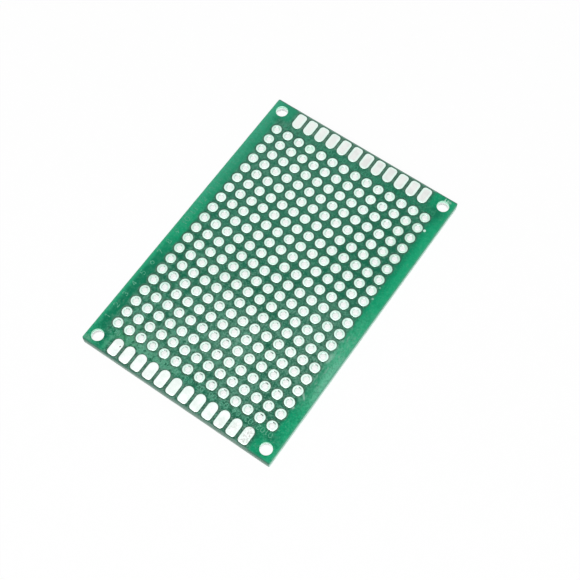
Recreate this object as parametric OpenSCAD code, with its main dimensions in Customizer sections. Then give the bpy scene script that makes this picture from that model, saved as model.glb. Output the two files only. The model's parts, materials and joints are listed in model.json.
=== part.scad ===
// Double-sided prototype board: a drilled glass-epoxy laminate, a solder mask on each face,
// a square grid of plated through holes, and a row of solder pads along each short end.
// The board lies flat with its length along Y and its main face up. The origin is under the
// board's centre, on the plane of the underside's pads.

/* [Board] */
// Width of the board, along X
board_w = 40; // [20:1:80]
// Length of the board, along Y
board_l = 60; // [30:1:120]
// Thickness of the bare laminate
laminate_t = 1.5; // [0.7:0.1:2.3]
// Radius of the board's corners
corner_r = 0.3; // [0.1:0.1:1]

/* [Plated holes] */
// Distance between neighbouring holes, both ways
pitch = 2.54; // [2.3:0.01:5.08]
// Finished bore of a plated hole
hole_d = 1; // [0.6:0.05:1.3]
// Width of the tinned ring around a plated hole
ring_w = 0.45; // [0.2:0.01:0.6]
// Thickness of the copper and tin on a hole's wall
plating_t = 0.04; // [0.02:0.01:0.08]
// Least distance from a side edge to the first column of holes
side_margin = 3.4; // [2:0.1:6]
// Least distance from an end edge to the first row of holes
end_margin = 5.8; // [5.2:0.1:10]

/* [End pads] */
// Width of an end pad
end_pad_w = 1.9; // [1:0.1:2.2]
// Length of an end pad
end_pad_l = 3.4; // [2.4:0.1:4.2]
// Bare strip between an end pad and the board's end
end_pad_setback = 0.3; // [0.2:0.05:0.6]
// Radius of an end pad's two outer corners
end_pad_corner_r = 0.5; // [0.1:0.05:0.5]

/* [Mounting holes] */
// Diameter of a mounting hole, for an M2 screw, drilled through the laminate and both masks
mount_hole_d = 2.3; // [1.6:0.1:3]
// Distance from both edges to the centre of a mounting hole
mount_inset = 2; // [1.8:0.1:2.6]

/* [Layers] */
// Height of a tinned pad above the laminate
pad_t = 0.05; // [0.03:0.01:0.1]
// Thickness of a solder mask
mask_t = 0.03; // [0.01:0.01:0.05]
// Gap between a pad and the mask around it
mask_gap = 0.1; // [0.05:0.01:0.15]

/* [Hidden] */
$fn = 48;
pad_d = hole_d + 2 * ring_w;
barrel_d = hole_d + 2 * plating_t;
laminate_top = pad_t + laminate_t;
board_t = laminate_t + 2 * pad_t;
drill_overrun = 1;

columns = floor((board_w - 2 * side_margin) / pitch) + 1;
rows = floor((board_l - 2 * end_margin) / pitch) + 1;
end_pads = columns - 2;
end_pad_y = board_l / 2 - end_pad_setback - end_pad_l / 2;

// Where a centred line of places one pitch apart puts its place number i
function place(i, count) = (i - (count + 1) / 2) * pitch;
function numbered(name, i) = str(name, i < 10 ? "0" : "", i);

// Places

module at_grid() {
    for (row = [1:rows], column = [1:columns])
        translate([place(column, columns), place(row, rows)]) children();
}

module at_mounting_holes() {
    for (x = [-1, 1], y = [-1, 1])
        translate([x * (board_w / 2 - mount_inset), y * (board_l / 2 - mount_inset)]) children();
}

// The near end is at -Y and the far end at +Y. Each pad's outer end faces its own board end.
module at_end_pads(end) {
    for (i = [1:end_pads])
        translate([place(i, end_pads), end * end_pad_y]) mirror([0, end < 0 ? 1 : 0]) children();
}

// Outlines

module board_outline() {
    square([board_w - 2 * corner_r, board_l], center = true);
    square([board_w, board_l - 2 * corner_r], center = true);
    for (x = [-1, 1], y = [-1, 1])
        translate([x * (board_w / 2 - corner_r), y * (board_l / 2 - corner_r)]) circle(corner_r);
}

// Round at its inner end, and flat with rounded corners at its outer end, towards +Y
module end_pad_outline(grow = 0) {
    half_w = end_pad_w / 2;
    flat_half_w = half_w - end_pad_corner_r;
    round_y = half_w - end_pad_l / 2;
    corner_y = end_pad_l / 2 - end_pad_corner_r;
    translate([0, round_y]) circle(half_w + grow);
    translate([-half_w - grow, round_y]) square([end_pad_w + 2 * grow, corner_y - round_y]);
    translate([-flat_half_w, round_y]) square([2 * flat_half_w, end_pad_l / 2 + grow - round_y]);
    for (x = [-1, 1])
        translate([x * flat_half_w, corner_y]) circle(end_pad_corner_r + grow);
}

// Pieces

module laminate() color("#cfc9a0") {
    difference() {
        translate([0, 0, pad_t]) linear_extrude(laminate_t) board_outline();
        translate([0, 0, -drill_overrun]) {
            at_grid() cylinder(d = barrel_d, h = board_t + 2 * drill_overrun);
            at_mounting_holes() cylinder(d = mount_hole_d, h = board_t + 2 * drill_overrun);
        }
    }
}

module solder_mask(z) color("#2b8a64") {
    translate([0, 0, z]) linear_extrude(mask_t) difference() {
        board_outline();
        at_grid() circle(d = pad_d + 2 * mask_gap);
        at_mounting_holes() circle(d = mount_hole_d);
        at_end_pads(-1) end_pad_outline(mask_gap);
        at_end_pads(1) end_pad_outline(mask_gap);
    }
}

// The pad on each face and the barrel that joins them, plated as one piece
module plated_hole() {
    rotate_extrude() polygon([
        [hole_d / 2, 0],
        [pad_d / 2, 0],
        [pad_d / 2, pad_t],
        [barrel_d / 2, pad_t],
        [barrel_d / 2, laminate_top],
        [pad_d / 2, laminate_top],
        [pad_d / 2, board_t],
        [hole_d / 2, board_t]
    ]);
}

module hole_row(row) color("#e6e6e2") {
    for (column = [1:columns])
        translate([place(column, columns), place(row, rows)]) plated_hole();
}

module end_pad_row(end, z) color("#e6e6e2") {
    translate([0, 0, z]) at_end_pads(end) linear_extrude(pad_t) end_pad_outline();
}

laminate();
solder_mask(laminate_top);  // solder_mask_top
solder_mask(pad_t - mask_t);  // solder_mask_bottom
end_pad_row(-1, laminate_top);  // end_pads_top_near
end_pad_row(1, laminate_top);  // end_pads_top_far
end_pad_row(-1, 0);  // end_pads_bottom_near
end_pad_row(1, 0);  // end_pads_bottom_far
for (row = [1:rows])
    hole_row(row);
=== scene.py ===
# Looks of the prototype board: a green double-sided board with tinned pads, on a white studio floor.
# Lengths in this file are millimetres in the row frame, and are turned to metres where a mesh, lamp
# or camera is made. The board lies flat, its length along Y and its main face up.
import json
import math
import random

import bpy
import numpy as np
from mathutils import Matrix, Vector
from mathutils.geometry import delaunay_2d_cdt


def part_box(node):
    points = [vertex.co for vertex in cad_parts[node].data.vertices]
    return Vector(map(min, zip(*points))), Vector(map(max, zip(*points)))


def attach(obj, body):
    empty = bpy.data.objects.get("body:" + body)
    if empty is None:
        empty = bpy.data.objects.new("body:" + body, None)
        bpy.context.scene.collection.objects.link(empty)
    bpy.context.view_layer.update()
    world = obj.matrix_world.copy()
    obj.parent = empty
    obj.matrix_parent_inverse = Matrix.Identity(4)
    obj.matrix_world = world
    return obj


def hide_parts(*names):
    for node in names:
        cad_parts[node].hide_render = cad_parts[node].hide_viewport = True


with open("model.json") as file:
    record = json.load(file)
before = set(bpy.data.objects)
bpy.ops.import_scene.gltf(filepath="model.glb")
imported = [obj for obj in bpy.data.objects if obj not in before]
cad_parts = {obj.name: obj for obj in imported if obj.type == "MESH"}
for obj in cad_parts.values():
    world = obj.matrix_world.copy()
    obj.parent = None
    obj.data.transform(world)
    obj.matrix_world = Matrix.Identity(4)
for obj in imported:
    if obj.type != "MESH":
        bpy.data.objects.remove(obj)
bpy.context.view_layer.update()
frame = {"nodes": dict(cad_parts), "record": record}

MM = 0.001
BODY = "root"
rng = random.Random(7)


# ---- Sizes, worked out from the frame ----

def box_mm(node):
    low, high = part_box(node)
    return low / MM, high / MM


def mount(name):
    return next(m for m in frame["record"]["mounts"] if m["name"] == name)


row_nodes = sorted(n for n in frame["nodes"] if n.startswith("hole_row_"))
board_low, board_high = box_mm("laminate")
first_low, first_high = box_mm(row_nodes[0])
second_low, _ = box_mm(row_nodes[1])

BOARD_W = board_high.x - board_low.x
BOARD_L = board_high.y - board_low.y
BOARD_T = first_high.z - first_low.z
LAMINATE_BOTTOM = board_low.z
LAMINATE_TOP = board_high.z
LAMINATE_T = LAMINATE_TOP - LAMINATE_BOTTOM
MID_Z = BOARD_T / 2
MASK_T = box_mm("solder_mask_top")[1].z - LAMINATE_TOP
PAD_T = BOARD_T - LAMINATE_TOP

# Three sizes that the frame doesn't hold, as in the CAD source
MASK_GAP = 0.1
PLATING_T = 0.04
END_PAD_CORNER_R = 0.5

PITCH = second_low.y - first_low.y
ROWS = len(row_nodes)
PAD_R = (first_high.y - first_low.y) / 2
COLUMNS = round((first_high.x - first_low.x - 2 * PAD_R) / PITCH) + 1
BORE_R = mount("component_hole_near_left")["dims"]["r_mm"]
BARREL_R = BORE_R + PLATING_T

END_PADS = COLUMNS - 2
end_low, end_high = box_mm("end_pads_top_far")
END_PAD_W = end_high.x - end_low.x - (END_PADS - 1) * PITCH
END_PAD_L = end_high.y - end_low.y
END_PAD_Y = (end_high.y + end_low.y) / 2

mounting = mount("mounting_holes")["dims"]
MOUNT_R = mounting["hole_r_mm"]
MOUNT_X = mounting["spacing_x_mm"] / 2
MOUNT_Y = mounting["spacing_y_mm"] / 2

GRID_X = [(i - (COLUMNS - 1) / 2) * PITCH for i in range(COLUMNS)]
GRID_Y = [(i - (ROWS - 1) / 2) * PITCH for i in range(ROWS)]
GRID_EDGE_X = GRID_X[-1] + PITCH / 2
GRID_EDGE_Y = GRID_Y[-1] + PITCH / 2
END_X = GRID_X[1:-1]
MOUNT_PLACES = [(x, y) for x in (-MOUNT_X, MOUNT_X) for y in (-MOUNT_Y, MOUNT_Y)]


# ---- Camera ----

def make_camera():
    """At the photograph's angle: a long lens above the near right corner, aimed just right of the middle."""
    azimuth, elevation, roll = (math.radians(a) for a in (35.02, 65.49, -0.18))
    aim = Vector((4.63, -1.82, BOARD_T))
    distance = 208.7
    back = Vector((
        math.sin(azimuth) * math.cos(elevation),
        -math.cos(azimuth) * math.cos(elevation),
        math.sin(elevation),
    ))
    data = bpy.data.cameras.new("camera")
    data.sensor_width = 36
    data.lens = 73.1
    data.clip_start = 0.01
    data.clip_end = 10
    camera = bpy.data.objects.new("camera", data)
    bpy.context.scene.collection.objects.link(camera)
    turn = (-back).to_track_quat("-Z", "Y").to_matrix() @ Matrix.Rotation(roll, 3, "Z")
    camera.matrix_world = Matrix.Translation((aim + back * distance) * MM) @ turn.to_4x4()
    bpy.context.scene.camera = camera


make_camera()


# ---- Shader helpers ----

def linear(red, green, blue):
    """A screen colour, 0 to 255 a channel, as the linear colour that a shader takes."""
    def channel(c):
        c = c / 255
        return c / 12.92 if c <= 0.04045 else ((c + 0.055) / 1.055) ** 2.4
    return channel(red), channel(green), channel(blue), 1.0


class Shade:
    """A material and short calls for the nodes that it is built from. Places are in millimetres.
    from_side and from_end are a place's distances from the board's two middle lines."""

    def __init__(self, name):
        self.material = bpy.data.materials.new(name)
        self.material.use_nodes = True
        self.tree = self.material.node_tree
        self.shader = self.tree.nodes["Principled BSDF"]
        coordinates = self.tree.nodes.new("ShaderNodeTexCoord")
        scaled = self.tree.nodes.new("ShaderNodeVectorMath")
        scaled.operation = "SCALE"
        scaled.inputs["Scale"].default_value = 1 / MM
        self.link(coordinates.outputs["Object"], scaled.inputs[0])
        self.place = scaled.outputs[0]
        split = self.tree.nodes.new("ShaderNodeSeparateXYZ")
        self.link(self.place, split.inputs[0])
        self.x, self.y, self.z = split.outputs
        self.from_side = self.size(self.x)
        self.from_end = self.size(self.y)

    def link(self, source, target):
        self.tree.links.new(source, target)

    def put(self, value, socket):
        """A link where value is a socket, and else the value on the socket itself."""
        if isinstance(value, bpy.types.NodeSocket):
            self.link(value, socket)
        else:
            socket.default_value = value

    def math(self, operation, *values):
        node = self.tree.nodes.new("ShaderNodeMath")
        node.operation = operation
        for value, socket in zip(values, node.inputs):
            self.put(value, socket)
        return node.outputs[0]

    def add(self, first, *rest):
        for value in rest:
            first = self.math("ADD", first, value)
        return first

    def times(self, first, *rest):
        for value in rest:
            first = self.math("MULTIPLY", first, value)
        return first

    def ramp(self, value, low, high, to_low=0.0, to_high=1.0):
        """Runs smoothly from to_low, where value is low or less, to to_high, where it is high or more."""
        node = self.tree.nodes.new("ShaderNodeMapRange")
        node.interpolation_type = "SMOOTHSTEP"
        self.put(value, node.inputs["Value"])
        if low > high:
            low, high, to_low, to_high = high, low, to_high, to_low
        for name, number in (("From Min", low), ("From Max", high), ("To Min", to_low), ("To Max", to_high)):
            node.inputs[name].default_value = number
        return node.outputs["Result"]

    def noise(self, size, detail=2.0, roughness=0.5, stretch=(1, 1, 1), seed=0.0):
        """Noise from 0 to 1 with features about size millimetres wide."""
        shifted = self.tree.nodes.new("ShaderNodeVectorMath")
        shifted.operation = "MULTIPLY_ADD"
        self.link(self.place, shifted.inputs[0])
        shifted.inputs[1].default_value = stretch
        shifted.inputs[2].default_value = (seed * 13.1, seed * 7.7, seed * 3.3)
        node = self.tree.nodes.new("ShaderNodeTexNoise")
        node.inputs["Scale"].default_value = 1 / size
        node.inputs["Detail"].default_value = detail
        node.inputs["Roughness"].default_value = roughness
        self.link(shifted.outputs[0], node.inputs["Vector"])
        return node.outputs["Fac"]

    def blend(self, factor, first, second):
        """The first colour where factor is 0, and the second where it is 1."""
        node = self.tree.nodes.new("ShaderNodeMix")
        node.data_type = "RGBA"
        self.put(factor, node.inputs["Factor"])
        self.put(first, node.inputs[6])
        self.put(second, node.inputs[7])
        return node.outputs[2]

    def spot(self, x, y, width, length, turn=0.0):
        """A soft ellipse: 1 in its middle, about a half on its outline and 0 outside. turn is in degrees."""
        cos, sin = math.cos(math.radians(turn)), math.sin(math.radians(turn))
        across = self.add(self.times(self.x, cos), self.times(self.y, sin), -(x * cos + y * sin))
        along = self.add(self.times(self.x, -sin), self.times(self.y, cos), x * sin - y * cos)
        far = self.add(self.math("POWER", self.times(across, 2 / width), 2.0),
                       self.math("POWER", self.times(along, 2 / length), 2.0))
        return self.ramp(far, 2.0, 0.0)

    def spots(self, places):
        """The sum of several soft ellipses, each (x, y, width, length, amount)."""
        return self.add(*(self.times(self.spot(x, y, width, length), amount)
                          for x, y, width, length, amount in places))

    def from_grid(self):
        """How far the nearest place of the hole grid is, across and along the board, with its sign."""
        def fold(value, count):
            cell = self.math("FRACT", self.add(self.times(value, 1 / PITCH), 100 + count / 2))
            return self.times(self.add(cell, -0.5), PITCH)
        return fold(self.x, COLUMNS), fold(self.y, ROWS)

    def size(self, value):
        return self.math("ABSOLUTE", value)

    def most(self, *values):
        most = values[0]
        for value in values[1:]:
            most = self.math("MAXIMUM", most, value)
        return most

    def length(self, across, along):
        squares = self.add(self.times(across, across), self.times(along, along))
        return self.math("SQRT", squares)

    def facing(self, across, along, degrees):
        """The cosine of the angle between a direction from a pad's centre and a given one, in degrees."""
        cos, sin = math.cos(math.radians(degrees)), math.sin(math.radians(degrees))
        towards = self.add(self.times(across, cos), self.times(along, sin))
        return self.math("DIVIDE", towards, self.most(self.length(across, along), 0.01))

    def bump(self, height, distance, normal=None):
        """A bump from a height of 0 to 1, distance millimetres deep."""
        node = self.tree.nodes.new("ShaderNodeBump")
        node.inputs["Distance"].default_value = distance * MM
        node.inputs["Strength"].default_value = 1.0
        self.link(height, node.inputs["Height"])
        if normal is not None:
            self.link(normal, node.inputs["Normal"])
        return node.outputs["Normal"]

    def finish(self, **values):
        """Sets the shader's sockets by name, with spaces written as underscores."""
        for name, value in values.items():
            self.put(value, self.shader.inputs[name.replace("_", " ")])
        return self.material


# ---- Materials ----

def lip_color(s, color, across, along, radius, each):
    """Tin with the painted shade and painted highlight of each bore's lip. It has painted shade on its left
    and far side and a painted highlight on its right, and a dark crescent of painted shade on its far side
    that grows towards the near end. each is a noise, which differs from pad to pad."""
    grey_tone = linear(178, 208, 196)
    # Painted shade on the lip's left and far side, and a painted highlight, the glint, on its right
    near_top = s.ramp(s.z, BOARD_T - 0.2, BOARD_T - 0.08)
    lip = s.times(near_top, s.ramp(radius, BORE_R + 0.26, BORE_R + 0.08))
    color = s.blend(s.times(lip, s.ramp(s.facing(across, along, 195), 0.2, 0.8), 0.6), color, grey_tone)
    color = s.blend(s.times(lip, s.ramp(s.facing(across, along, 90), -0.1, 0.5), 0.32), color, grey_tone)
    glint = s.times(lip, s.ramp(s.facing(across, along, 305), 0.3, 0.8))
    color = s.blend(s.times(glint, 0.8), color, linear(248, 253, 250))

    # The crescent is painted shade on the bore's far lip. Away is the cosine of the angle from its middle,
    # which turns a little across the board.
    lean = s.add(s.times(s.x, 0.0112), -0.122)
    away = s.math("DIVIDE", s.add(s.times(across, lean), along), s.most(radius, 0.01))
    inner_side = s.ramp(radius, BORE_R - 0.01, BORE_R + 0.07)
    outer_side = s.ramp(radius, BORE_R + 0.24, BORE_R + 0.14)
    arc_shape = s.times(inner_side, outer_side, s.ramp(away, 0.78, 0.94),
                        s.ramp(s.z, BOARD_T - 0.2, BOARD_T - 0.1))
    crescent = s.times(arc_shape, s.ramp(s.y, 14, -20, 0.15, 1), s.ramp(s.x, -16, 2, 0.75, 1),
                       s.ramp(each, 0.38, 0.6, 0.6, 1))
    color = s.blend(crescent, color, linear(78, 86, 82))
    # A second patch of painted shade on the lip, towards the far left
    second = s.times(lip, s.ramp(s.facing(across, along, 145), 0.86, 0.98),
                     s.ramp(each, 0.6, 0.42, 0.1, 0.5), s.ramp(s.x, -16, 6, 0.25, 1))
    return s.blend(second, color, linear(142, 164, 154))


def hole_tin_material():
    """Levelled tin on the plated holes: a cool pale pad, duller in a few regions, and a whiter bore."""
    s = Shade("tin_on_holes")
    across, along = s.from_grid()
    radius = s.length(across, along)
    cloud = s.noise(1.4, 3, 0.6)
    grain = s.noise(0.1, 2, 0.6, seed=1)
    region = s.noise(9.0, 2, 0.5, seed=2)
    each = s.noise(0.9, 2, 0.5, seed=3)
    color = s.blend(s.ramp(cloud, 0.35, 0.65), linear(206, 239, 225), linear(228, 253, 243))
    color = s.blend(s.ramp(region, 0.4, 0.6, 0, 0.4), color, linear(230, 250, 241))
    # Greyer pads in a few patches
    greyer_patches = s.spots([
        (17, 16.5, 7, 20, 1.0),
        (10, 9, 9, 12, 0.4),
        (-16.8, -7.5, 3.4, 20, 0.7),
        (-16.5, 20, 4.5, 14, 0.35),
        (-6, -4, 9, 9, 0.25),
    ])
    color = s.blend(greyer_patches, color, linear(196, 230, 213))
    color = s.blend(s.times(s.spot(9, -20, 24, 22), 0.7), color, linear(229, 251, 241))
    color = s.blend(s.times(s.spot(6, -24.6, 22, 3), 0.4), color, linear(200, 226, 214))
    color = s.blend(s.ramp(grain, 0.6, 0.8, 0, 0.3), color, linear(196, 214, 206))
    bore = s.ramp(radius, BORE_R + 0.1, BORE_R - 0.02)
    color = s.blend(bore, color, linear(249, 251, 249))
    green_pad = s.spot(GRID_X[3], GRID_Y[-1], 2.2, 2.2)
    color = s.blend(s.times(green_pad, 0.6), color, linear(214, 252, 232))

    color = lip_color(s, color, across, along, radius, each)
    edge = s.ramp(radius, PAD_R - 0.08, PAD_R)
    color = s.blend(s.times(edge, 0.4), color, linear(186, 214, 202))
    normal = s.bump(cloud, 0.006)
    normal = s.bump(grain, 0.002, normal)
    roughness = s.ramp(s.add(cloud, s.times(grain, 0.5), s.times(bore, -0.6)), 0.2, 0.9, 0.1, 0.42)
    return s.finish(Base_Color=color, Metallic=0.9, Roughness=roughness, Normal=normal)


def end_tin_material():
    """Levelled tin on the end pads. The far pads are greyer with paler rims. On the upper face, the last
    near pads on the right are mottled and the first near pad has a burnt speck."""
    s = Shade("tin_on_end_pads")
    across, _ = s.from_grid()
    cloud = s.noise(1.2, 3, 0.6)
    grain = s.noise(0.12, 2, 0.6, seed=1)
    blotch = s.noise(0.35, 3, 0.65, seed=4)
    bright = s.blend(s.ramp(cloud, 0.35, 0.65), linear(236, 244, 240), linear(244, 249, 246))
    grey = s.blend(s.ramp(cloud, 0.35, 0.65), linear(226, 228, 225), linear(233, 235, 232))
    grey = s.blend(s.ramp(s.x, 2, -14), grey, linear(236, 240, 236))
    from_middle = s.size(s.add(s.from_end, -END_PAD_Y))
    rim = s.most(s.ramp(s.size(across), END_PAD_W / 2 - 0.5, END_PAD_W / 2 - 0.2),
                 s.ramp(from_middle, END_PAD_L / 2 - 0.55, END_PAD_L / 2 - 0.25))
    grey = s.blend(rim, grey, linear(226, 247, 238))
    bright = s.blend(s.times(rim, s.ramp(s.x, -14, 14, 0.2, 0.8)), bright, linear(230, 250, 242))
    color = s.blend(s.ramp(s.y, -10, 10), bright, grey)

    upper = s.ramp(s.z, MID_Z, LAMINATE_TOP)
    mottled = s.times(upper, s.spots([
        (END_X[-1], -28.2, 2.2, 4.0, 1.0),
        (END_X[-2], -28.8, 2.0, 3.0, 0.5),
        (END_X[-3], -29, 2, 2.4, 0.25),
    ]))
    color = s.blend(s.times(mottled, s.ramp(blotch, 0.44, 0.62)), color, linear(198, 200, 196))
    burnt = s.times(upper, s.spot(-13.4, -27.5, 0.22, 0.3))
    color = s.blend(burnt, color, linear(70, 62, 62))
    color = s.blend(s.ramp(grain, 0.62, 0.8, 0, 0.3), color, linear(200, 212, 206))
    normal = s.bump(cloud, 0.008)
    normal = s.bump(s.times(blotch, s.add(0.3, mottled)), 0.004, normal)
    roughness = s.ramp(cloud, 0.3, 0.7, 0.28, 0.42)
    return s.finish(Base_Color=color, Metallic=0.9, Roughness=roughness, Normal=normal)


def margin_amount(s):
    """1 on the mask's margins, outside the grid and in the corners beside the end pads, and 0 elsewhere."""
    corners = s.times(s.ramp(s.from_side, 14.9, 16.0), s.ramp(s.from_end, 25.8, 27.2))
    return s.most(s.ramp(s.from_side, 17.0, 18.0), corners)


def margin_color(s):
    """The mask's brighter green over bare laminate, partly painted light that comes up through the laminate
    from the
    floor: paler outwards, with painted reflections that make it greyer on the left and veil it low on the
    right."""
    # Painted reflection: a pale sheen low on the right, broken up by a streaky noise
    painted_sheen = s.spots([(19, -11, 6, 14, 1.0), (19.5, -1, 3, 8, 0.35)])
    sheen_breakup = s.noise(0.8, 3, 0.6, stretch=(2.0, 0.9, 1), seed=11)
    painted_sheen = s.times(painted_sheen, s.ramp(sheen_breakup, 0.36, 0.56, 0.6, 1.15))
    color = s.blend(painted_sheen, linear(8, 155, 108), linear(86, 180, 142))
    # Painted reflection that makes the upper left greyer
    greyer = s.times(s.ramp(s.x, 5, -5), s.ramp(s.y, -4, 14, 0.05, 0.7))
    color = s.blend(greyer, color, linear(48, 142, 110))
    deeper = s.spots([
        (18.3, 26.5, 5, 6, 0.6),
        (-18, -17, 4.4, 20, 1.0),
        (17.7, 15, 1.4, 18, 0.5),
        (17.7, -14, 3, 10, 0.55),
        (-16.8, -27.6, 1.3, 4.4, 0.8),
        (-18.3, -25.2, 4, 3, 0.3),
        (18.6, -26, 3, 2, 0.4),
        (16.9, -25.9, 2.4, 1.4, 0.6),
        (17.6, 26, 3, 1.6, 0.5),
        (-17.5, 26, 2.4, 1.2, 0.5),
    ])
    color = s.blend(deeper, color, linear(1, 117, 83))
    color = s.blend(s.ramp(s.noise(1.6, 3, 0.6, seed=8), 0.5, 0.7, 0, 0.4), color, linear(12, 134, 94))
    outward = s.ramp(s.from_side, 17.8, BOARD_W / 2)
    # Painted reflection, paler along the upper left edge
    leftward_reflection = s.times(outward, s.ramp(s.x, -5, 5, 1, 0), s.ramp(s.y, -8, 2, 0, 0.5))
    color = s.blend(leftward_reflection, color, linear(72, 184, 146))
    low_left = s.times(s.ramp(s.x, -18.9, -19.7, 0, 0.75), s.ramp(s.y, 2, -8))
    color = s.blend(low_left, color, linear(40, 170, 124))
    color = s.blend(s.times(outward, s.ramp(s.x, -5, 5, 0, 0.5)), color, linear(36, 178, 126))
    # A painted reflection low on the right edge
    return s.blend(s.spot(20, -12, 2.4, 10), color, linear(104, 192, 156))


def field_color(s, mottle):
    """The mask's deeper green between the pads, over etched copper, and partly painted shade where the pads
    hold back the light that comes up through the laminate. It is patchy, with a painted reflection in pale
    patches."""
    deep = s.spots([(14, 11, 20, 34, 0.9), (-15.5, -10, 8, 15, 0.9), (15, -23.5, 7, 6, 0.5)])
    color = s.blend(deep, linear(38, 121, 93), linear(10, 107, 76))
    region = s.noise(5.0, 3, 0.55)
    color = s.blend(s.ramp(region, 0.35, 0.65, 0, 0.4), color, linear(62, 124, 101))
    patch = s.noise(2.7, 2, 0.5, seed=9)
    patchy = s.ramp(s.y, 8, -12, 0.1, 0.6)
    deep_patch = s.times(s.ramp(patch, 0.5, 0.64), s.add(patchy, 0.25))
    color = s.blend(deep_patch, color, linear(14, 102, 75))
    pale_patch = s.times(s.ramp(patch, 0.49, 0.37), patchy)
    color = s.blend(pale_patch, color, linear(98, 152, 131))

    # Painted reflection: a pale glare on the mask in patches
    painted_glare = s.spots([
        (-14, 20, 20, 22, 0.45),
        (-1, -15.5, 12, 11, 0.8),
        (15, -9, 9, 10, 0.8),
        (8.5, -22.5, 9, 7, 0.9),
        (-7, -8, 11, 9, 0.4),
        (-9, -20, 15, 9, 0.45),
        (14, -15, 9, 9, 0.4),
    ])
    color = s.blend(s.times(painted_glare, s.ramp(mottle, 0.3, 0.7, 0.3, 1.4)), color, linear(84, 140, 117))
    shadows = s.spots([
        (-10.5, -12, 16, 18, 0.45),
        (-13.5, -13, 9, 14, 0.4),
        (1, 0, 18, 8, 0.35),
        (13, 10.5, 13, 15, 0.35),
        (-4, -17, 6, 10, 0.35),
        (5, -25.7, 14, 1.6, 0.25),
        (15.3, 11, 3, 26, 0.3),
        (8, 14, 6, 16, 0.15),
        (-15.3, -12, 3, 22, 0.25),
    ])
    color = s.blend(shadows, color, linear(8, 106, 77))
    vivid = s.spots([(-15.8, -25.8, 4.2, 2, 0.6), (16.3, -25.8, 2.8, 2, 0.8), (16.5, 25.8, 2.4, 1.6, 0.4)])
    color = s.blend(vivid, color, linear(12, 144, 99))
    lights = s.spots([
        (13.5, -3.5, 8, 9, 0.3),
        (3.2, -12, 5, 6, 0.42),
        (15.5, -9, 4, 6, 0.3),
        (3.5, -19, 8, 8, 0.2),
        (-8, -22, 8, 4, 0.15),
        (1.5, 14, 9, 24, 0.1),
    ])
    return s.blend(lights, color, linear(110, 160, 138))


def near_color(s, color, margin, calm, mottle):
    """The mask with its blotches at the near left, and its olive and paler stretches along the near end."""
    cells = s.noise(1.3, 2, 0.5, seed=10)
    celled = s.times(calm, s.ramp(margin, 0, 0.6, 0.8, 0))
    color = s.blend(s.times(celled, s.ramp(cells, 0.52, 0.66)), color, linear(102, 166, 138))
    color = s.blend(s.times(celled, s.ramp(cells, 0.48, 0.34)), color, linear(6, 106, 74))
    olive = s.spots([(-13.4, -25.7, 4, 2.2, 0.75), (-13, -23.2, 6, 2, 0.35)])
    color = s.blend(olive, color, linear(62, 152, 100))
    near_strip = s.spots([
        (-8.8, -25.8, 8, 2.2, 0.9),
        (-3.6, -25.6, 5, 1.6, 0.5),
        (6, -25.7, 8, 1.6, 0.1),
        (-19.2, -29.2, 1.6, 0.9, 0.7),
        (-15.7, -28, 1.1, 4, 0.4),
        (-17.6, -29.5, 3, 0.6, 0.3),
    ])
    return s.blend(s.times(near_strip, s.ramp(mottle, 0.35, 0.6, 0.2, 1.2)), color, linear(96, 168, 136))


def pad_side_color(s, color):
    """The mask with its darker rings of painted shade round the pads and its duller strips between the end
    pads.
    """
    across, along = s.from_grid()
    in_grid = s.times(s.ramp(s.from_side, GRID_EDGE_X, GRID_EDGE_X - 0.05),
                      s.ramp(s.from_end, GRID_EDGE_Y, GRID_EDGE_Y - 0.05))
    # A ring of painted shade on the mask round each pad
    beside_pad_shade = s.times(s.ramp(s.length(across, along), PAD_R + 0.5, PAD_R + 0.1), in_grid)
    ring = s.blend(s.ramp(s.y, 12, -18), linear(58, 98, 82), linear(84, 110, 95))
    color = s.blend(s.times(beside_pad_shade, 0.75), color, ring)
    between_ends = s.times(s.ramp(s.from_end, 26.4, 27.0), s.ramp(s.size(across), 0.9, 1.15),
                           s.ramp(s.from_side, 15.2, 14.9))
    grey_tone = s.blend(s.ramp(s.x, -12, 12), linear(102, 126, 112), linear(82, 110, 96))
    return s.blend(s.times(between_ends, 0.75), color, grey_tone)


def worn_color(s, color, margin, calm, mottle, weave, smudged):
    """The mask with its mottling, the cloth's weave showing through, and the smudges of its near half."""
    wear = s.times(s.ramp(s.y, 10, -12, 0.5, 1.05), s.ramp(margin, 0, 1, 1, 0.4))
    wear = s.times(wear, s.add(1.0, s.spots([(-10, -22, 18, 12, 0.35), (-19, -15, 4, 22, -0.5)])))
    color = s.blend(s.times(s.ramp(mottle, 0.5, 0.66, 0, 0.7), wear), color, linear(84, 154, 127))
    color = s.blend(s.times(s.ramp(mottle, 0.5, 0.34, 0, 0.65), wear), color, linear(8, 92, 66))
    fine = s.times(wear, s.ramp(calm, 0, 0.8, 1, 0.3))
    color = s.blend(s.times(s.ramp(weave, 0.35, 0.55, 0.7, 0), fine), color, linear(8, 88, 64))
    color = s.blend(s.times(s.ramp(weave, 0.55, 0.72, 0, 0.7), fine), color, linear(112, 166, 142))
    smudge = s.noise(0.9, 3, 0.6, stretch=(2.2, 0.9, 1), seed=6)
    color = s.blend(s.times(smudged, s.ramp(smudge, 0.52, 0.68, 0, 0.6)), color, linear(118, 172, 150))
    return s.blend(s.times(s.spot(16, -25.5, 3, 2.4), 0.5), color, linear(10, 136, 94))


def edge_color(s, color, side_rim, end_rim, mottle):
    """The mask with its rims: paler green along the sides and grey-green along the ends."""
    color = s.blend(s.times(side_rim, s.ramp(mottle, 0.35, 0.6, 0.3, 0.8)), color, linear(84, 162, 132))
    pale_side = s.most(s.ramp(s.y, -10, 10), s.ramp(s.x, -14, 8, 0, 0.7))
    pale_rim = s.times(s.ramp(s.from_side, 15.8, 15.2), pale_side)
    end_color = s.blend(pale_rim, linear(70, 118, 102), linear(136, 164, 153))
    return s.blend(s.times(end_rim, 0.85), color, end_color)


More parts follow.
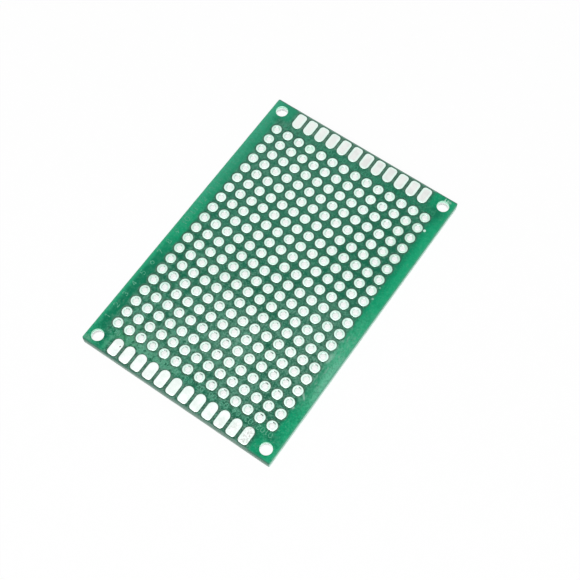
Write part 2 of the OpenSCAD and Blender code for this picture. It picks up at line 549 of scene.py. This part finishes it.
def marked_color(s, color):
    """The mask with specks and a scratch on the upper face, and a pale edge round each mounting hole."""
    specks = s.spots([
        (17.9, 21.8, 0.44, 0.44, 1.8),
        (17.6, 5.1, 0.4, 0.4, 0.4),
        (17.5, 7.6, 0.35, 0.35, 0.3),
        (17.7, 29.1, 0.22, 1.2, 0.7),
        (18.2, 29.4, 0.3, 0.5, 0.4),
        (18.6, 29.3, 0.8, 0.5, 0.3),
        (17.55, -19.5, 0.5, 0.5, 0.35),
        (17.7, -8.6, 0.7, 2.0, 0.25),
    ])
    scratch = s.times(s.spot(17.9, -16.8, 0.36, 1.5, turn=42), 0.3)
    upper = s.ramp(s.z, MID_Z, LAMINATE_TOP)
    color = s.blend(s.times(s.add(specks, scratch), upper), color, linear(208, 243, 228))
    from_drill = s.length(s.add(s.from_side, -MOUNT_X), s.add(s.from_end, -MOUNT_Y))
    drilled = s.ramp(from_drill, MOUNT_R + 0.012, MOUNT_R + 0.004)
    return s.blend(drilled, color, linear(196, 238, 220))


def mask_material():
    """Green solder mask: deeper between the pads and brighter along the margins, partly as painted shade and
    painted light from the light that comes up through the laminate, with painted reflections in pale patches,
    and scuffed near the edges. At the near left it is calm, with blotches and less of the cloth's weave."""
    s = Shade("green_mask")
    mottle = s.noise(0.8, 3, 0.65, seed=2)
    weave = s.noise(0.3, 2, 0.6, seed=3)
    margin = margin_amount(s)
    calm = s.spots([(-14, -14, 14, 28, 0.6), (-6, -22, 18, 14, 0.6)])
    smudged = s.spots([
        (-6, -20, 24, 18, 0.8),
        (4, -16, 20, 16, 0.7),
        (13, -8, 14, 16, 0.6),
        (18.5, -10, 4, 16, 0.8),
    ])
    side_rim = s.ramp(s.from_side, BOARD_W / 2 - 0.4, BOARD_W / 2 - 0.05)
    end_rim = s.ramp(s.from_end, BOARD_L / 2 - 0.4, BOARD_L / 2 - 0.05)

    color = s.blend(margin, field_color(s, mottle), margin_color(s))
    color = near_color(s, color, margin, calm, mottle)
    color = pad_side_color(s, color)
    color = worn_color(s, color, margin, calm, mottle, weave, smudged)
    color = edge_color(s, color, side_rim, end_rim, mottle)
    color = marked_color(s, color)

    normal = s.bump(s.noise(0.6, 3, 0.6, seed=7), 0.004)
    normal = s.bump(weave, 0.002, normal)
    rim = s.most(side_rim, end_rim)
    roughness = s.add(s.ramp(mottle, 0.3, 0.7, 0.3, 0.42), s.times(smudged, 0.1), s.times(rim, 0.15))
    return s.finish(Base_Color=color, Roughness=roughness, Specular_IOR_Level=0.12, Normal=normal)


def laminate_material():
    """Glass-epoxy laminate. Its faces, bare only round the pads, are painted a dark grey-green as the shade
    in the gaps by the pads. Its sawn sides show the cloth's layers. The end sides are painted darker and the
    long sides paler and greener, as painted shade and light for how the light falls on them, and all sides
    are darker towards the upper mask."""
    s = Shade("laminate")
    fibre = s.noise(0.3, 3, 0.65, stretch=(1, 1, 4))
    layers = s.noise(0.18, 2, 0.5, stretch=(0.12, 0.12, 1), seed=1)
    depth = s.add(LAMINATE_TOP, s.times(s.z, -1))
    # Painted shade and light: the end sides darker and the long sides paler, for how the light falls on them
    shaded_end_side = s.blend(s.ramp(depth, 0.1, LAMINATE_T), linear(78, 118, 102), linear(142, 170, 158))
    long_side = s.blend(s.ramp(depth, 0.0, 1.0), linear(92, 158, 130), linear(198, 246, 228))
    on_long_side = s.ramp(s.from_side, BOARD_W / 2 - 0.12, BOARD_W / 2 - 0.05)
    side = s.blend(on_long_side, shaded_end_side, long_side)
    side = s.blend(s.ramp(layers, 0.45, 0.65, 0, 0.3), side, linear(112, 138, 120))
    side = s.blend(s.ramp(fibre, 0.6, 0.75, 0, 0.3), side, linear(190, 206, 190))
    # The bare faces round the pads are painted dark, as the shade in the gaps by the pads
    face = s.blend(s.ramp(fibre, 0.35, 0.65), linear(48, 84, 68), linear(62, 100, 82))
    on_face = s.most(s.ramp(depth, 0.004, 0.001), s.ramp(depth, LAMINATE_T - 0.004, LAMINATE_T - 0.001))
    color = s.blend(on_face, side, face)
    normal = s.bump(fibre, 0.006)
    normal = s.bump(layers, 0.004, normal)
    return s.finish(Base_Color=color, Roughness=s.ramp(fibre, 0.3, 0.7, 0.5, 0.75), Normal=normal)


def drilled_wall_material():
    """The mounting holes' walls. The drill left milky resin with a shine, tinged green below the mask."""
    s = Shade("drilled_walls")
    layers = s.noise(0.18, 2, 0.5, stretch=(0.12, 0.12, 1), seed=1)
    smear = s.noise(0.5, 3, 0.6, seed=2)
    tinged = s.ramp(s.z, LAMINATE_TOP - 1.1, LAMINATE_TOP - 0.1)
    color = s.blend(tinged, linear(250, 254, 252), linear(182, 238, 214))
    color = s.blend(s.ramp(layers, 0.4, 0.65, 0, 0.15), color, linear(222, 243, 232))
    metallic = s.ramp(s.z, LAMINATE_TOP - 1.0, LAMINATE_TOP - 0.3, 1.0, 0.7)
    roughness = s.ramp(smear, 0.3, 0.7, 0.2, 0.35)
    return s.finish(Base_Color=color, Metallic=metallic, Roughness=roughness, Normal=s.bump(layers, 0.001))


def ink_material():
    """The legend's faint ink, a little paler than the mask below it and worn thin in places."""
    s = Shade("legend_ink")
    worn = s.noise(0.4, 3, 0.6, seed=5)
    color = s.blend(s.ramp(worn, 0.35, 0.6), linear(52, 142, 110), linear(102, 174, 144))
    color = s.blend(s.ramp(s.y, -4, 14, 0, 0.75), color, linear(50, 140, 108))
    color = s.blend(s.spot(12, 25.6, 14, 4), color, linear(30, 134, 98))
    normal = s.bump(worn, 0.002)
    roughness = s.ramp(worn, 0.3, 0.7, 0.4, 0.55)
    return s.finish(Base_Color=color, Roughness=roughness, Specular_IOR_Level=0.12, Normal=normal)


def seen_directly(tree):
    """1 for camera, glossy and transmission rays, and 0 for the rays that light the board."""
    path = tree.nodes.new("ShaderNodeLightPath")
    seen = path.outputs["Is Camera Ray"]
    for kind in ("Is Glossy Ray", "Is Transmission Ray"):
        node = tree.nodes.new("ShaderNodeMath")
        node.operation = "MAXIMUM"
        tree.links.new(seen, node.inputs[0])
        tree.links.new(path.outputs[kind], node.inputs[1])
        seen = node.outputs[0]
    return seen


def floor_material():
    """White paper that stays white to the camera and in reflections, and still takes the board's shadow."""
    s = Shade("floor_paper")
    fibre = s.noise(3.0, 3, 0.6)
    color = s.blend(s.ramp(fibre, 0.4, 0.6), linear(250, 250, 250), linear(253, 253, 253))
    s.finish(Base_Color=color, Roughness=0.9, Specular_IOR_Level=0.0)
    glow = s.tree.nodes.new("ShaderNodeEmission")
    glow.inputs["Color"].default_value = (1, 1, 1, 1)
    glow.inputs["Strength"].default_value = 1.0
    mixed = s.tree.nodes.new("ShaderNodeMixShader")
    s.put(s.times(seen_directly(s.tree), 0.93), mixed.inputs[0])
    s.link(s.shader.outputs[0], mixed.inputs[1])
    s.link(glow.outputs[0], mixed.inputs[2])
    s.link(mixed.outputs[0], s.tree.nodes["Material Output"].inputs["Surface"])
    return s.material


hole_tin = hole_tin_material()
end_tin = end_tin_material()
green_mask = mask_material()
laminate = laminate_material()
drilled_wall = drilled_wall_material()
ink = ink_material()


# ---- Mesh helpers ----

def piece(name, points, faces, material, replaces=(), flat=()):
    """A mesh piece that rides on the board. Points are in millimetres, and the faces numbered in flat aren't
    smoothed."""
    mesh = bpy.data.meshes.new(name)
    mesh.from_pydata((np.asarray(points, float) * MM).tolist(), [], faces)
    smooth = np.ones(len(mesh.polygons), bool)
    smooth[list(flat)] = False
    mesh.polygons.foreach_set("use_smooth", smooth)
    mesh.materials.append(material)
    mesh.update()
    made = bpy.data.objects.new(name, mesh)
    bpy.context.scene.collection.objects.link(made)
    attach(made, BODY)
    if replaces:
        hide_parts(*replaces)
    return made


def arc(x, y, radius, start, end, steps):
    """Points along an arc from one angle to another, in degrees, both ends included."""
    turns = [math.radians(start + (end - start) * i / steps) for i in range(steps + 1)]
    return [(x + radius * math.cos(t), y + radius * math.sin(t)) for t in turns]


def circle(x, y, radius, count):
    """Points round a circle, anticlockwise."""
    return arc(x, y, radius, 0, 360, count)[:-1]


def band(first, second, count, flip=False):
    """Quads between two closed rings of points, given by the index of each ring's first point."""
    quads = []
    for i in range(count):
        j = (i + 1) % count
        quads.append((first + i, first + j, second + j, second + i))
    return [quad[::-1] for quad in quads] if flip else quads


def fill(points, loops):
    """Triangles that fill the first of loops and leave the others open. A loop is a list of indices."""
    index = [i for loop in loops for i in loop]
    numbers = iter(range(len(index)))
    outlines = [[next(numbers) for _ in loop] for loop in loops]
    places = [Vector(points[i][:2]) for i in index]
    _, _, triangles, origins, _, sources = delaunay_2d_cdt(places, [], outlines, 1, 1e-7, True)
    return [tuple(index[origins[v][0]] for v in triangle)
            for triangle, inside in zip(triangles, sources) if inside == [0]]


def sheet(rings):
    """Points and faces of a closed sheet with holes, and the numbers of its top and bottom faces.
    A ring is a list of levels from the bottom up, and a level is a list of points (x, y, z),
    anticlockwise. The first ring is the outline and the others are holes."""
    points, faces, tops, bottoms = [], [], [], []
    for number, levels in enumerate(rings):
        count = len(levels[0])
        starts = [len(points) + count * i for i in range(len(levels))]
        for level in levels:
            points += level
        for low, high in zip(starts, starts[1:]):
            faces += band(low, high, count, flip=number > 0)
        bottoms.append(list(range(starts[0], starts[0] + count)))
        tops.append(list(range(starts[-1], starts[-1] + count)))
    walls = len(faces)
    faces += fill(points, tops)
    faces += [triangle[::-1] for triangle in fill(points, bottoms)]
    return points, faces, range(walls, len(faces))


# ---- Outlines ----

def end_pad_outline(x, end, inset, drawn_in=0.0):
    """An end pad's outline, anticlockwise, moved in by inset. end is 1 at the far end of the board and -1 at
    the near one. The pad's inner end is round. Its outer end is flat, with rounded corners from which the tin
    has drawn in."""
    half = END_PAD_W / 2 - inset
    corner = max(END_PAD_CORNER_R - inset + drawn_in, 0.05)
    inner = END_PAD_W / 2 - END_PAD_L / 2
    outer = END_PAD_L / 2 - inset - 0.7 * drawn_in
    shape = arc(half - corner, outer - corner, corner, 0, 90, 4)
    shape += arc(corner - half, outer - corner, corner, 90, 180, 4)
    shape += arc(0, inner, half, 180, 360, 16)
    shape = [(x + px, end * (END_PAD_Y + py)) for px, py in shape]
    return shape if end > 0 else shape[::-1]


def board_outline(inset, rough=None):
    """The board's outline, anticlockwise from the near left corner, moved in by inset. The near left corner
    is knocked round. rough gives a further inset for each point. Points along the edges are step apart."""
    step = 0.5
    corners = [(-1, -1, 0.4), (1, -1, 0.25), (1, 1, 0.2), (-1, 1, 0.3)]
    centres = [(sx * (BOARD_W / 2 - radius), sy * (BOARD_L / 2 - radius)) for sx, sy, radius in corners]
    shape, normals = [], []
    for number, (_, _, radius) in enumerate(corners):
        turn = 180 + 90 * number
        shape += arc(*centres[number], radius, turn, turn + 90, 6)
        normals += arc(0, 0, 1, turn, turn + 90, 6)
        begin, (nx, ny) = shape[-1], normals[-1]
        following = (number + 1) % len(corners)
        next_x, next_y = centres[following]
        next_radius = corners[following][2]
        finish = next_x + next_radius * nx, next_y + next_radius * ny
        steps = round(math.dist(begin, finish) / step)
        for i in range(1, steps):
            shape.append(tuple(b + (f - b) * i / steps for b, f in zip(begin, finish)))
            normals.append((nx, ny))
    insets = [inset + r for r in rough] if rough else [inset] * len(shape)
    return [(x - nx * back, y - ny * back) for (x, y), (nx, ny), back in zip(shape, normals, insets)]


def at_height(outline, z):
    return [(x, y, z) for x, y in outline]


def roughness_along(count, depth):
    """A seeded wander of about 0 to depth, one value for each outline point, that closes on itself."""
    waves = [(rng.randint(2, 90), rng.uniform(0, math.tau), rng.random()) for _ in range(24)]
    total = sum(size for _, _, size in waves)
    rough = []
    for i in range(count):
        swing = sum(size * math.sin(turns * math.tau * i / count + start) for turns, start, size in waves)
        rough.append(max(0.0, depth * (0.5 + 1.25 * swing / total)))
    return rough


# ---- Pieces ----

def rim_reach(x, y, angle):
    """How far a pad's rim leaves its circle. The tin ran towards the near right as it was levelled: there
    the rims come to a blunt point with flats beside it, and at the far left they are round."""
    run = math.radians(311 - 0.7 * x - 0.45 * y)
    away = math.degrees((angle - run + math.pi) % math.tau - math.pi)
    across, along = x / BOARD_W, y / BOARD_L
    point = 0.045 * min(1.0, max(0.0, 0.3 + 0.9 * across - 1.2 * along))
    flat = 0.09 * min(1.0, max(0.0, 0.5 - 0.3 * across - along))
    bulge = 0.03 * min(1.0, max(0.0, 3.6 * across))

    def swell(centre, width):
        return math.exp(-((away - centre) / width) ** 2)

    swollen = point * swell(0, 18) + bulge * swell(75, 28)
    swollen += 0.013 + 0.012 * (1 + 2 * along) * math.cos(angle - math.radians(110))
    return swollen - flat * (swell(-38, 22) + 0.45 * swell(36, 16))


def plated_hole_profile():
    """(radius, height) round a plated hole's whole section: the domed upper pad from the bore outwards, the
    barrel's outside and the lower pad. Heights are from the board's mid plane."""
    crown = [
        (BORE_R, MID_Z - 0.16),
        (BORE_R + 0.008, MID_Z - 0.09),
        (BORE_R + 0.03, MID_Z - 0.04),
        (BORE_R + 0.08, MID_Z - 0.012),
        (BORE_R + 0.2, MID_Z),
        (PAD_R - 0.15, MID_Z - 0.003),
        (PAD_R - 0.07, MID_Z - 0.012),
        (PAD_R - 0.02, MID_Z - 0.026),
        (PAD_R, MID_Z - 0.042),
        (PAD_R, MID_Z - PAD_T),
        (BARREL_R, MID_Z - PAD_T),
    ]
    return crown + [(radius, -height) for radius, height in reversed(crown)]


def make_hole_row(number, node, y):
    """One row of plated holes, each turned from one section, with its own lean, thickness and rim."""
    segments = 32
    angles = [math.tau * i / segments for i in range(segments)]
    profile = plated_hole_profile()
    lip_r = BORE_R + 0.1
    pad_foot = MID_Z - PAD_T + 0.001
    points, faces = [], []
    for x in GRID_X:
        first = len(points)
        lean_x, lean_y = rng.uniform(-0.008, 0.008), rng.uniform(-0.008, 0.008)
        thin = rng.uniform(0.0, 0.008)
        wander = rng.uniform(0, math.tau)
        reaches = [rim_reach(x, y, angle) + 0.012 * math.sin(2 * angle + wander) for angle in angles]
        for radius, height in profile:
            outer = max(0.0, (radius - lip_r) / (PAD_R - lip_r))
            for angle, reach in zip(angles, reaches):
                r = radius + outer * reach
                dx, dy = r * math.cos(angle), r * math.sin(angle)
                sag = 0.0
                if abs(height) > pad_foot:
                    sag = (thin + 0.008 + lean_x * dx + lean_y * dy) * math.copysign(1, height)
                points.append((x + dx, y + dy, MID_Z + height - sag))
        for ring in range(len(profile)):
            low = first + ring * segments
            high = first + (ring + 1) % len(profile) * segments
            faces += band(low, high, segments, flip=True)
    name = f"plated_holes_{number:02d}"
    return piece(name, points, faces, hole_tin, [node])


def make_end_pads(name, node, end, up):
    """The end pads of one board end and one face, each a low dome of tin."""
    dome = [(0.0, 0.0), (0.0, 0.014), (0.02, 0.03), (0.06, 0.041), (0.14, 0.047), (0.3, PAD_T), (0.6, PAD_T)]
    base = LAMINATE_TOP if up else LAMINATE_BOTTOM
    side = 1 if up else -1
    points, faces = [], []
    for x in END_X:
        first = len(points)
        thin = rng.uniform(0.0, 0.004)
        for inset, height in dome:
            height = max(0.0, height - thin)
            points += at_height(end_pad_outline(x, end, inset, 0.1), base + side * height)
        count = (len(points) - first) // len(dome)
        for ring in range(len(dome) - 1):
            faces += band(first + ring * count, first + (ring + 1) * count, count, flip=not up)
        foot = tuple(range(first, first + count))
        crown = tuple(range(len(points) - count, len(points)))
        faces += [foot[::-1], crown] if up else [foot, crown[::-1]]
    return piece(name, points, faces, end_tin, [node])


def make_mask(name, node, up):
    """A solder mask with soft edges round its openings. It ends just short of the board's sawn edge."""
    soft = 0.02
    low = LAMINATE_TOP if up else LAMINATE_BOTTOM - MASK_T
    high = low + MASK_T
    outer, inner = (high, low) if up else (low, high)
    mid = inner + (outer - inner) * 0.6

    def levels(outline_at):
        """A ring's levels from the bottom up. outline_at takes how far the mask stands back there."""
        made = [at_height(outline_at(0.0), inner), at_height(outline_at(0.0), mid)]
        made.append(at_height(outline_at(soft), outer))
        return made if up else made[::-1]

    count = len(board_outline(0))
    chips = [0.01 + depth for depth in roughness_along(count, 0.02)]
    rings = [levels(lambda back: board_outline(back, chips))]
    openings = [(x, y, PAD_R + MASK_GAP, 32) for x in GRID_X for y in GRID_Y]
    openings += [(x, y, MOUNT_R, 48) for x, y in MOUNT_PLACES]
    for x, y, radius, sides in openings:
        rings.append(levels(lambda back: circle(x, y, radius + back, sides)))
    for end in (-1, 1):
        for x in END_X:
            rings.append(levels(lambda back: end_pad_outline(x, end, -MASK_GAP - back)))
    points, faces, flat = sheet(rings)
    return piece(name, points, faces, green_mask, [node], flat)


def make_laminate():
    """The drilled laminate. Its sawn sides are rough, and fullest halfway up."""
    count = len(board_outline(0))
    saw = [
        (0.0, 0.03),
        (0.06, 0.014),
        (0.4, 0.01),
        (LAMINATE_T / 2, 0.0),
        (LAMINATE_T - 0.4, 0.01),
        (LAMINATE_T - 0.06, 0.014),
        (LAMINATE_T, 0.02),
    ]
    outline = []
    for height, inset in saw:
        rough = roughness_along(count, 0.03) if 0 < height < LAMINATE_T and inset else None
        outline.append(at_height(board_outline(inset, rough), LAMINATE_BOTTOM + height))
    rings = [outline]
    mount_sides, hole_sides = 48, 32
    holes = [(x, y, MOUNT_R, mount_sides) for x, y in MOUNT_PLACES]
    holes += [(x, y, BARREL_R, hole_sides) for x in GRID_X for y in GRID_Y]
    for x, y, radius, sides in holes:
        rings.append([at_height(circle(x, y, radius, sides), z) for z in (LAMINATE_BOTTOM, LAMINATE_TOP)])
    points, faces, flat = sheet(rings)
    made = piece("drilled_laminate", points, faces, laminate, ["laminate"], flat)
    made.data.materials.append(drilled_wall)
    first_wall = count * (len(saw) - 1)
    for number in range(first_wall, first_wall + mount_sides * len(MOUNT_PLACES)):
        made.data.polygons[number].material_index = 1
    return made


# ---- Legend ----

# The strokes of each digit as lists of points, in a box 1 wide and 1.5 high
DIGIT_STROKES = {
    "0": [arc(0.5, 1.0, 0.5, 0, 180, 8) + arc(0.5, 0.5, 0.5, 180, 360, 8) + [(1.0, 1.0)]],
    "1": [[(0.55, 1.5), (0.55, 0.0)], [(0.2, 1.2), (0.55, 1.5)]],
    "2": [arc(0.5, 1.02, 0.48, 165, -35, 8) + [(0.0, 0.0)], [(0.0, 0.0), (1.0, 0.0)]],
    "3": [arc(0.47, 1.12, 0.38, 150, -80, 8), arc(0.5, 0.42, 0.42, 85, -150, 8)],
    "4": [[(0.75, 0.0), (0.75, 1.5)], [(0.75, 1.5), (0.0, 0.45)], [(0.0, 0.45), (1.0, 0.45)]],
    "5": [arc(0.48, 0.48, 0.48, 130, -145, 8), [(0.95, 1.5), (0.15, 1.5)], [(0.15, 1.5), (0.12, 0.8)]],
    "6": [arc(0.5, 0.48, 0.48, 0, 360, 12), [(0.8, 1.5), (0.08, 0.7)]],
    "7": [[(0.0, 1.5), (1.0, 1.5)], [(1.0, 1.5), (0.35, 0.0)]],
    "8": [arc(0.5, 1.12, 0.38, 0, 360, 12), arc(0.5, 0.4, 0.4, 0, 360, 12)],
    "9": [arc(0.5, 1.02, 0.48, 0, 360, 12), [(0.92, 0.8), (0.2, 0.0)]],
}
DIGIT_BOX_H = 1.5


def number_strokes(text, x, y, turn, height):
    """The strokes of a number centred on a place on the board and turned anticlockwise by turn degrees, as
    seen from above. Each comes with its own number within its digit."""
    cos, sin = math.cos(math.radians(turn)), math.sin(math.radians(turn))
    width, gap = 0.68 * height, 0.26 * height
    total = len(text) * width + (len(text) - 1) * gap
    strokes = []
    for i, digit in enumerate(text):
        start = i * (width + gap) - total / 2
        for number, path in enumerate(DIGIT_STROKES[digit]):
            placed = []
            for px, py in path:
                across = start + px * width
                along = py / DIGIT_BOX_H * height - height / 2
                placed.append((x + across * cos - along * sin, y + across * sin + along * cos))
            strokes.append((number, placed))
    return strokes


def add_stroke(points, faces, path, base, rise, up):
    """Adds a low ridge along a path on the board to points and faces. A closed path makes a ring."""
    line = 0.13
    ring = math.dist(path[0], path[-1]) < 1e-6
    path = path[:-1] if ring else path
    first, last = len(points), len(path) - 1
    for i, (x, y) in enumerate(path):
        before = path[i - 1 if ring or i else 0]
        after = path[(i + 1) % len(path) if ring or i < last else last]
        span = math.dist(before, after)
        nx, ny = -(after[1] - before[1]) / span, (after[0] - before[0]) / span
        for side, z in ((0.5, base), (0.38, base + rise), (-0.38, base + rise), (-0.5, base)):
            points.append((x + nx * side * line, y + ny * side * line, z))
    for i in range(last + ring):
        following = (i + 1) % len(path)
        faces += band(first + 4 * i, first + 4 * following, 4, flip=not up)
    if not ring:
        start = tuple(range(first, first + 4))
        end = tuple(range(len(points) - 4, len(points)))
        faces += [start[::-1], end] if up else [start, end[::-1]]


def make_legend(name, up):
    """Plain index numbers in faint relief: the rows along the left margin and the columns along both ends.
    Each further stroke of a digit is lower, so that no two crossing strokes share a surface. The digits on
    both faces run as seen from above, so those on the underside read mirrored from below."""
    side = 1 if up else -1
    base = LAMINATE_TOP + MASK_T if up else LAMINATE_BOTTOM - MASK_T
    rise = 0.006 * side
    numbers = []
    for i, y in enumerate(GRID_Y):
        numbers.append((str(i + 1), side * (1.1 - BOARD_W / 2), y, 90 * side, 1.0))
    for i in range(COLUMNS):
        for end in (-1, 1):
            x = min(GRID_EDGE_X - i * PITCH, MOUNT_X - MOUNT_R)
            numbers.append((f"{i + 1:02d}", side * x, end * (GRID_Y[-1] + 0.6 * PITCH), 180, 0.85))
    points, faces = [], []
    for text, x, y, turn, height in numbers:
        for number, path in number_strokes(text, x, y, turn, height):
            add_stroke(points, faces, path, base, rise * (1 - 0.2 * number), up)
    return piece(name, points, faces, ink, (), range(len(faces)))


make_laminate()
make_mask("upper_mask", "solder_mask_top", True)
make_mask("lower_mask", "solder_mask_bottom", False)
for number, (node, y) in enumerate(zip(row_nodes, GRID_Y), 1):
    make_hole_row(number, node, y)
for place, end in (("near", -1), ("far", 1)):
    for face, up in (("top", True), ("bottom", False)):
        make_end_pads(f"end_pads_{face}_{place}_tin", f"end_pads_{face}_{place}", end, up)
make_legend("upper_index_numbers", True)
make_legend("lower_index_numbers", False)


# ---- Floor and light ----

def make_floor():
    """A large flat sheet of paper under the board, in a grid of squares."""
    size, steps = 1500.0, 30
    points, faces = [], []
    for j in range(steps + 1):
        for i in range(steps + 1):
            x, y = (i / steps - 0.5) * size, (j / steps - 0.5) * size
            points.append((x, y, 0.0))
    for j in range(steps):
        for i in range(steps):
            corner = j * (steps + 1) + i
            faces.append((corner, corner + 1, corner + steps + 2, corner + steps + 1))
    mesh = bpy.data.meshes.new("floor")
    mesh.from_pydata((np.array(points) * MM).tolist(), [], faces)
    mesh.materials.append(floor_material())
    floor = bpy.data.objects.new("floor", mesh)
    bpy.context.scene.collection.objects.link(floor)


def make_lamp(name, toward, distance, size, power):
    """A soft square lamp. toward points from the board to the lamp."""
    data = bpy.data.lights.new(name, "AREA")
    data.shape = "SQUARE"
    data.size = size * MM
    data.energy = power
    lamp = bpy.data.objects.new(name, data)
    bpy.context.scene.collection.objects.link(lamp)
    direction = Vector(toward).normalized()
    turn = direction.to_track_quat("Z", "Y").to_matrix().to_4x4()
    lamp.matrix_world = Matrix.Translation(direction * distance * MM) @ turn


def make_world():
    """A white room: full white to the camera and in reflections, and a softer white as light."""
    world = bpy.data.worlds.new("white_room")
    bpy.context.scene.world = world
    world.use_nodes = True
    tree = world.node_tree
    light = tree.nodes["Background"]
    white = tree.nodes.new("ShaderNodeBackground")
    for background, strength in ((light, 0.55), (white, 1.0)):
        background.inputs["Color"].default_value = (1, 1, 1, 1)
        background.inputs["Strength"].default_value = strength
    mixed = tree.nodes.new("ShaderNodeMixShader")
    tree.links.new(seen_directly(tree), mixed.inputs[0])
    tree.links.new(light.outputs[0], mixed.inputs[1])
    tree.links.new(white.outputs[0], mixed.inputs[2])
    tree.links.new(mixed.outputs[0], tree.nodes["World Output"].inputs["Surface"])


make_floor()
make_world()
make_lamp("key_softbox", (0.2, -0.55, 1.1), 700, 500, 2.6)

bpy.context.scene.view_settings.view_transform = "Standard"
